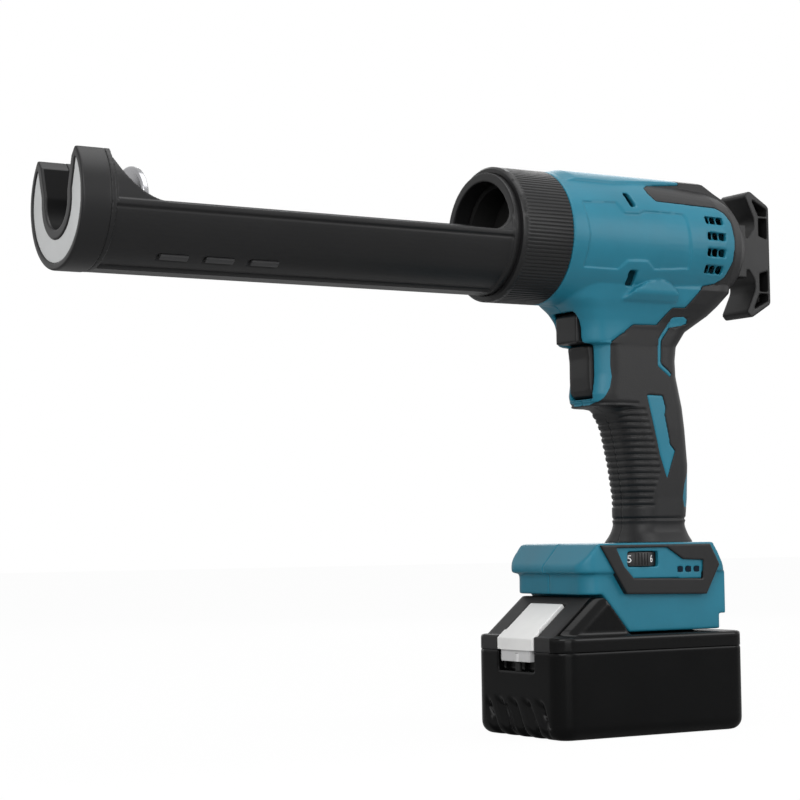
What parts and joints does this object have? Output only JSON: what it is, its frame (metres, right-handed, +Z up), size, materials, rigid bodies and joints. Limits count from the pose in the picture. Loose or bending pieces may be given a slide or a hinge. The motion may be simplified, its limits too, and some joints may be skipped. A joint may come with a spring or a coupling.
{
  "type": "cordless caulking tool",
  "caption": "Cordless caulking tool with an open half-tube cartridge barrel, slotted front cap, rack rod with pusher and pull handle, trigger grip and slide-on battery.",
  "frame": {"origin": "middle of the battery's bottom face, on which the tool stands", "axes": "+X from the nose to the pull handle, +Y to the tool's right, +Z up"},
  "size_m": [0.4005, 0.075, 0.2815],
  "materials": {
    "teal_plastic": "satin moulded plastic",
    "soft_black": "soft overmoulded rubber",
    "charcoal_plastic": "fine matt moulded plastic",
    "pale_pad": "pale matt plastic",
    "bright_steel": "bright plated steel",
    "plain_steel": "machined steel",
    "cast_case": "die-cast aluminium",
    "guide_plastic": "natural acetal",
    "black_inside": "moulded plastic",
    "board": "circuit board",
    "smoke_lens": "clear moulded plastic",
    "terminal_metal": "moulded block with plated blades",
    "battery_black": "smooth moulded plastic",
    "cell_can": "sleeved cell can",
    "white_latch": "smooth white plastic"
  },
  "bodies": {
    "body": {"nose_mount": "cast_case", "front_rod_guide": "guide_plastic", "rear_rod_guide": "guide_plastic", "left_housing": "teal_plastic", "right_housing": "teal_plastic", "left_overmould": "soft_black", "right_overmould": "soft_black", "housing_screws": "plain_steel", "left_base_panel": "charcoal_plastic", "right_base_panel": "charcoal_plastic", "gear_case": "cast_case", "gear_cover": "cast_case", "shaft_bearings": "plain_steel", "motor_can": "plain_steel", "motor_end_cap": "guide_plastic", "switch_unit": "black_inside", "control_board": "board", "dial_pot": "black_inside", "indicator_lens": "smoke_lens", "terminal_block": "terminal_metal", "trigger_spring": "plain_steel", "lock_spring": "plain_steel"},
    "barrel": {"barrel_trough": "charcoal_plastic", "front_cap": "charcoal_plastic", "front_pad": "pale_pad", "cap_screws": "plain_steel"},
    "collar": {"locking_collar": "charcoal_plastic"},
    "rod": {"rack_rod": "plain_steel", "pusher_plate": "bright_steel", "pusher_screw": "plain_steel", "pull_handle": "charcoal_plastic", "handle_pin": "plain_steel"},
    "pinion": {"drive_pinion": "plain_steel", "pinion_shaft": "plain_steel"},
    "trigger": {"trigger": "charcoal_plastic"},
    "lock": {"lock_button": "charcoal_plastic"},
    "dial": {"speed_dial": "charcoal_plastic"},
    "battery": {"battery_lower": "battery_black", "battery_upper": "battery_black", "battery_cells": "cell_can", "latch_spring": "plain_steel"},
    "latch": {"latch_button": "white_latch"}
  },
  "joints": [
    {"name": "barrel_spin", "type": "hinge", "parent": "body", "child": "barrel", "pos_m": [-0.071, 0, 0.2465], "axis": [1, 0, 0], "continuous": true},
    {"name": "collar_spin", "type": "hinge", "parent": "body", "child": "collar", "pos_m": [-0.057, 0, 0.2465], "axis": [1, 0, 0], "continuous": true},
    {"name": "rod_slide", "type": "slide", "parent": "body", "child": "rod", "axis": [1, 0, 0], "range_m": [0, 0.18064]},
    {"name": "pinion_spin", "type": "hinge", "parent": "body", "child": "pinion", "pos_m": [-0.011, 0, 0.2365], "axis": [0, 1, 0], "range_deg": [-10, 1390]},
    {"name": "trigger_press", "type": "slide", "parent": "body", "child": "trigger", "axis": [1, 0, 0], "range_m": [0, 0.007], "stiffness_N_per_m": 900, "springref_m": -0.004, "deforming": ["trigger_spring"]},
    {"name": "lock_press", "type": "slide", "parent": "body", "child": "lock", "axis": [1, 0, 0], "range_m": [0, 0.004], "stiffness_N_per_m": 700, "springref_m": -0.004, "deforming": ["lock_spring"]},
    {"name": "dial_turn", "type": "hinge", "parent": "body", "child": "dial", "pos_m": [-0.0035, -0.0205, 0.086], "axis": [0, 0, 1], "range_deg": [0, 260]},
    {"name": "battery_slide", "type": "slide", "parent": "body", "child": "battery", "axis": [-1, 0, 0], "range_m": [0, 0.09]},
    {"name": "latch_press", "type": "slide", "parent": "battery", "child": "latch", "axis": [0, 0, -1], "range_m": [0, 0.004], "stiffness_N_per_m": 600, "springref_m": -0.004, "deforming": ["latch_spring"]}
  ],
  "couplings": [
    {"joint": "pinion_spin", "follows": "rod_slide", "rad_per_m": 133.33}
  ]
}
